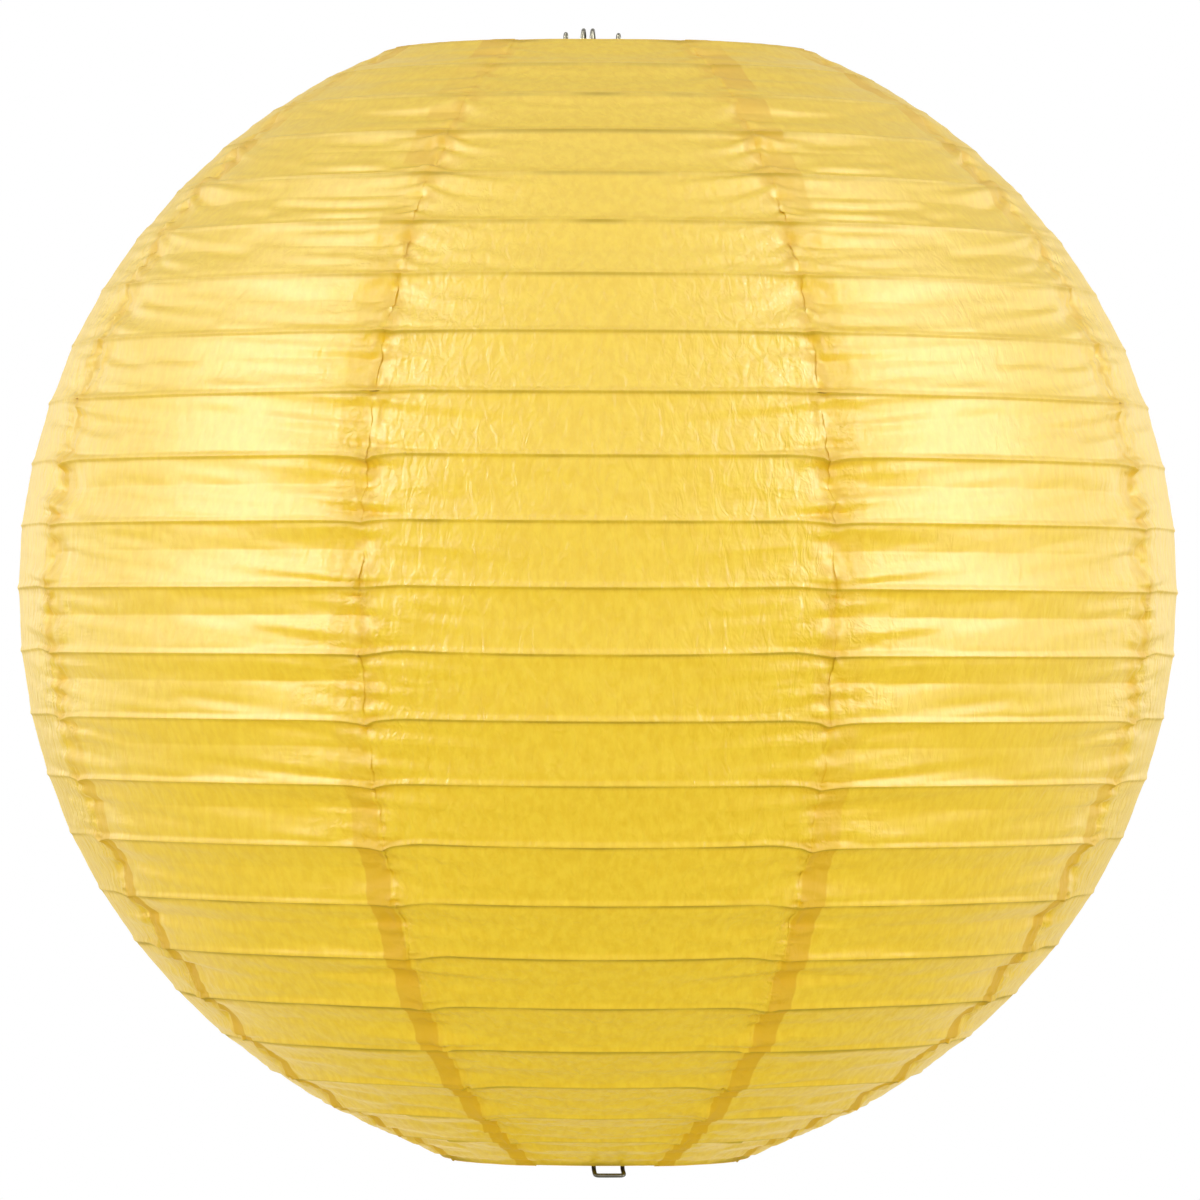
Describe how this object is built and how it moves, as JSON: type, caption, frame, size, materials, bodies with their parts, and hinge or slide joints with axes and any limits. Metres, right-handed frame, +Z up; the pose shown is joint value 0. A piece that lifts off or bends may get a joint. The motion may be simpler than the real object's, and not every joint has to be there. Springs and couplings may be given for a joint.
{
  "type": "accordion paper lantern",
  "caption": "Round paper lantern of wire rings and glued paper gores that folds flat like a bellows, held open by a bent-wire expander with a hanging loop.",
  "frame": {"origin": "where a hook bears, inside the top of the hanging loop; the lantern's own axis is parallel to Z and passes 4.2 mm to the loop's right", "axes": "+Z up, -Y to the front, where one paper gore looks straight out"},
  "size_m": [0.4048, 0.4048, 0.3984],
  "materials": {
    "paper": "yellow tissue paper, crinkled, slightly glossy",
    "ring_wire": "plain steel wire",
    "expander_wire": "bright drawn steel wire"
  },
  "bodies": {
    "frame": {"expander": "expander_wire", "top_rim": "ring_wire", "top_hem": "paper"},
    "rib_01_body": {"rib_01": "ring_wire", "paper_band_01": "paper"},
    "rib_02_body": {"rib_02": "ring_wire", "paper_band_02": "paper"},
    "rib_03_body": {"rib_03": "ring_wire", "paper_band_03": "paper"},
    "rib_04_body": {"rib_04": "ring_wire", "paper_band_04": "paper"},
    "rib_05_body": {"rib_05": "ring_wire", "paper_band_05": "paper"},
    "rib_06_body": {"rib_06": "ring_wire", "paper_band_06": "paper"},
    "rib_07_body": {"rib_07": "ring_wire", "paper_band_07": "paper"},
    "rib_08_body": {"rib_08": "ring_wire", "paper_band_08": "paper"},
    "rib_09_body": {"rib_09": "ring_wire", "paper_band_09": "paper"},
    "rib_10_body": {"rib_10": "ring_wire", "paper_band_10": "paper"},
    "rib_11_body": {"rib_11": "ring_wire", "paper_band_11": "paper"},
    "rib_12_body": {"rib_12": "ring_wire", "paper_band_12": "paper"},
    "rib_13_body": {"rib_13": "ring_wire", "paper_band_13": "paper"},
    "rib_14_body": {"rib_14": "ring_wire", "paper_band_14": "paper"},
    "rib_15_body": {"rib_15": "ring_wire", "paper_band_15": "paper"},
    "rib_16_body": {"rib_16": "ring_wire", "paper_band_16": "paper"},
    "rib_17_body": {"rib_17": "ring_wire", "paper_band_17": "paper"},
    "rib_18_body": {"rib_18": "ring_wire", "paper_band_18": "paper"},
    "rib_19_body": {"rib_19": "ring_wire", "paper_band_19": "paper"},
    "rib_20_body": {"rib_20": "ring_wire", "paper_band_20": "paper"},
    "rib_21_body": {"rib_21": "ring_wire", "paper_band_21": "paper"},
    "rib_22_body": {"rib_22": "ring_wire", "paper_band_22": "paper"},
    "bottom_rim_body": {"bottom_rim": "ring_wire", "bottom_hem": "paper", "paper_band_23": "paper"}
  },
  "joints": [
    {"name": "rib_01_lift", "type": "slide", "parent": "frame", "child": "rib_01_body", "axis": [0, 0, 1], "range_m": [0, 0.00764], "deforming": ["paper_band_01"]},
    {"name": "rib_02_lift", "type": "slide", "parent": "frame", "child": "rib_02_body", "axis": [0, 0, 1], "range_m": [0, 0.01733], "deforming": ["paper_band_02"]},
    {"name": "rib_03_lift", "type": "slide", "parent": "frame", "child": "rib_03_body", "axis": [0, 0, 1], "range_m": [0, 0.02894], "deforming": ["paper_band_03"]},
    {"name": "rib_04_lift", "type": "slide", "parent": "frame", "child": "rib_04_body", "axis": [0, 0, 1], "range_m": [0, 0.04231], "deforming": ["paper_band_04"]},
    {"name": "rib_05_lift", "type": "slide", "parent": "frame", "child": "rib_05_body", "axis": [0, 0, 1], "range_m": [0, 0.05728], "deforming": ["paper_band_05"]},
    {"name": "rib_06_lift", "type": "slide", "parent": "frame", "child": "rib_06_body", "axis": [0, 0, 1], "range_m": [0, 0.07365], "deforming": ["paper_band_06"]},
    {"name": "rib_07_lift", "type": "slide", "parent": "frame", "child": "rib_07_body", "axis": [0, 0, 1], "range_m": [0, 0.09121], "deforming": ["paper_band_07"]},
    {"name": "rib_08_lift", "type": "slide", "parent": "frame", "child": "rib_08_body", "axis": [0, 0, 1], "range_m": [0, 0.10974], "deforming": ["paper_band_08"]},
    {"name": "rib_09_lift", "type": "slide", "parent": "frame", "child": "rib_09_body", "axis": [0, 0, 1], "range_m": [0, 0.12901], "deforming": ["paper_band_09"]},
    {"name": "rib_10_lift", "type": "slide", "parent": "frame", "child": "rib_10_body", "axis": [0, 0, 1], "range_m": [0, 0.14878], "deforming": ["paper_band_10"]},
    {"name": "rib_11_lift", "type": "slide", "parent": "frame", "child": "rib_11_body", "axis": [0, 0, 1], "range_m": [0, 0.1688], "deforming": ["paper_band_11"]},
    {"name": "rib_12_lift", "type": "slide", "parent": "frame", "child": "rib_12_body", "axis": [0, 0, 1], "range_m": [0, 0.189], "deforming": ["paper_band_12"]},
    {"name": "rib_13_lift", "type": "slide", "parent": "frame", "child": "rib_13_body", "axis": [0, 0, 1], "range_m": [0, 0.20894], "deforming": ["paper_band_13"]},
    {"name": "rib_14_lift", "type": "slide", "parent": "frame", "child": "rib_14_body", "axis": [0, 0, 1], "range_m": [0, 0.22837], "deforming": ["paper_band_14"]},
    {"name": "rib_15_lift", "type": "slide", "parent": "frame", "child": "rib_15_body", "axis": [0, 0, 1], "range_m": [0, 0.24704], "deforming": ["paper_band_15"]},
    {"name": "rib_16_lift", "type": "slide", "parent": "frame", "child": "rib_16_body", "axis": [0, 0, 1], "range_m": [0, 0.26471], "deforming": ["paper_band_16"]},
    {"name": "rib_17_lift", "type": "slide", "parent": "frame", "child": "rib_17_body", "axis": [0, 0, 1], "range_m": [0, 0.28117], "deforming": ["paper_band_17"]},
    {"name": "rib_18_lift", "type": "slide", "parent": "frame", "child": "rib_18_body", "axis": [0, 0, 1], "range_m": [0, 0.29619], "deforming": ["paper_band_18"]},
    {"name": "rib_19_lift", "type": "slide", "parent": "frame", "child": "rib_19_body", "axis": [0, 0, 1], "range_m": [0, 0.30958], "deforming": ["paper_band_19"]},
    {"name": "rib_20_lift", "type": "slide", "parent": "frame", "child": "rib_20_body", "axis": [0, 0, 1], "range_m": [0, 0.32117], "deforming": ["paper_band_20"]},
    {"name": "rib_21_lift", "type": "slide", "parent": "frame", "child": "rib_21_body", "axis": [0, 0, 1], "range_m": [0, 0.3308], "deforming": ["paper_band_21"]},
    {"name": "rib_22_lift", "type": "slide", "parent": "frame", "child": "rib_22_body", "axis": [0, 0, 1], "range_m": [0, 0.33833], "deforming": ["paper_band_22"]},
    {"name": "bottom_rim_lift", "type": "slide", "parent": "frame", "child": "bottom_rim_body", "axis": [0, 0, 1], "range_m": [0, 0.34606], "deforming": ["paper_band_23"]}
  ],
  "couplings": [
    {"joint": "rib_01_lift", "follows": "bottom_rim_lift", "ratio": 0.022077},
    {"joint": "rib_02_lift", "follows": "bottom_rim_lift", "ratio": 0.050078},
    {"joint": "rib_03_lift", "follows": "bottom_rim_lift", "ratio": 0.083621},
    {"joint": "rib_04_lift", "follows": "bottom_rim_lift", "ratio": 0.12227},
    {"joint": "rib_05_lift", "follows": "bottom_rim_lift", "ratio": 0.16552},
    {"joint": "rib_06_lift", "follows": "bottom_rim_lift", "ratio": 0.21282},
    {"joint": "rib_07_lift", "follows": "bottom_rim_lift", "ratio": 0.26356},
    {"joint": "rib_08_lift", "follows": "bottom_rim_lift", "ratio": 0.31712},
    {"joint": "rib_09_lift", "follows": "bottom_rim_lift", "ratio": 0.37281},
    {"joint": "rib_10_lift", "follows": "bottom_rim_lift", "ratio": 0.42993},
    {"joint": "rib_11_lift", "follows": "bottom_rim_lift", "ratio": 0.48778},
    {"joint": "rib_12_lift", "follows": "bottom_rim_lift", "ratio": 0.54614},
    {"joint": "rib_13_lift", "follows": "bottom_rim_lift", "ratio": 0.60375},
    {"joint": "rib_14_lift", "follows": "bottom_rim_lift", "ratio": 0.65989},
    {"joint": "rib_15_lift", "follows": "bottom_rim_lift", "ratio": 0.71385},
    {"joint": "rib_16_lift", "follows": "bottom_rim_lift", "ratio": 0.76493},
    {"joint": "rib_17_lift", "follows": "bottom_rim_lift", "ratio": 0.81248},
    {"joint": "rib_18_lift", "follows": "bottom_rim_lift", "ratio": 0.85589},
    {"joint": "rib_19_lift", "follows": "bottom_rim_lift", "ratio": 0.89459},
    {"joint": "rib_20_lift", "follows": "bottom_rim_lift", "ratio": 0.92807},
    {"joint": "rib_21_lift", "follows": "bottom_rim_lift", "ratio": 0.95589},
    {"joint": "rib_22_lift", "follows": "bottom_rim_lift", "ratio": 0.97765}
  ]
}
